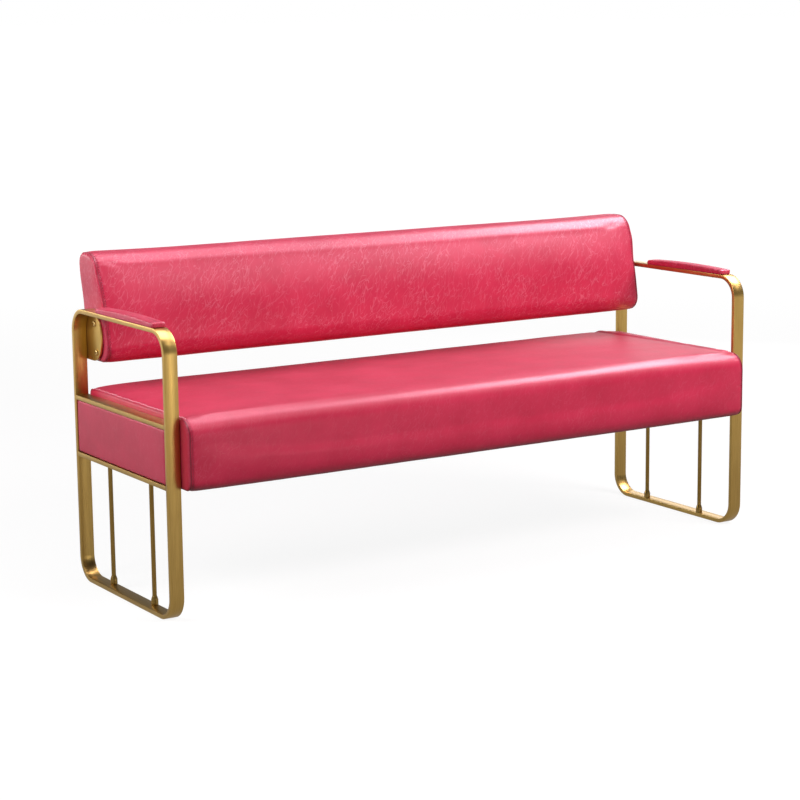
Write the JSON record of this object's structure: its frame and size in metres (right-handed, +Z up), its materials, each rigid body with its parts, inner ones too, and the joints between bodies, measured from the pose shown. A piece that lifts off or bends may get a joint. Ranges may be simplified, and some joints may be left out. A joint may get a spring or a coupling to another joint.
{
  "type": "upholstered waiting bench",
  "caption": "Long waiting bench: a padded seat box and a leaning padded backrest held between closed flat-bar side frames with padded armrests.",
  "frame": {"origin": "on the floor under the middle of the footprint", "axes": "+X along the bench, to the right as seen from the front; +Y from front to back, so the sitter faces -Y; +Z up"},
  "size_m": [1.6, 0.5519, 0.76],
  "materials": {
    "frame_gold": "gold-toned, brushed along the bar, satin lacquer",
    "bolt_gold": "gold-toned, turned",
    "leather": "oil-wax finish with fine creases, satin",
    "plywood": "sanded birch plywood",
    "softwood": "planed pine",
    "foam": "open-cell cut foam",
    "zinc_steel": "zinc-plated",
    "dust_cloth": "non-woven black cloth",
    "nylon": "moulded nylon"
  },
  "bodies": {
    "root": {"left_loop": "frame_gold", "right_loop": "frame_gold", "left_upper_rail": "frame_gold", "right_upper_rail": "frame_gold", "left_lower_rail": "frame_gold", "right_lower_rail": "frame_gold", "left_front_rod": "frame_gold", "left_rear_rod": "frame_gold", "right_front_rod": "frame_gold", "right_rear_rod": "frame_gold", "rod_collars": "frame_gold", "left_mount_plate": "frame_gold", "right_mount_plate": "frame_gold", "left_back_bracket": "frame_gold", "right_back_bracket": "frame_gold", "left_side_board": "plywood", "right_side_board": "plywood", "left_side_foam": "foam", "right_side_foam": "foam", "left_side_cover": "leather", "right_side_cover": "leather", "panel_clips": "nylon", "left_arm_board": "plywood", "right_arm_board": "plywood", "left_arm_foam": "foam", "right_arm_foam": "foam", "left_arm_cover": "leather", "right_arm_cover": "leather", "arm_screws": "zinc_steel", "seat_front_rail": "softwood", "seat_rear_rail": "softwood", "seat_left_end_board": "plywood", "seat_right_end_board": "plywood", "seat_left_batten": "softwood", "seat_middle_batten": "softwood", "seat_right_batten": "softwood", "seat_deck": "plywood", "seat_foam": "foam", "seat_cover": "leather", "seat_left_end_panel": "leather", "seat_right_end_panel": "leather", "seat_dust_cover": "dust_cloth", "seat_bolts": "bolt_gold", "seat_nuts": "zinc_steel", "seat_frame_screws": "zinc_steel", "seat_deck_screws": "zinc_steel", "back_board": "plywood", "back_top_rail": "softwood", "back_bottom_rail": "softwood", "back_left_end_board": "plywood", "back_right_end_board": "plywood", "back_foam": "foam", "back_cover": "leather", "back_left_end_panel": "leather", "back_right_end_panel": "leather", "back_bolts": "bolt_gold", "back_nuts": "zinc_steel", "back_frame_screws": "zinc_steel"}
  },
  "joints": []
}
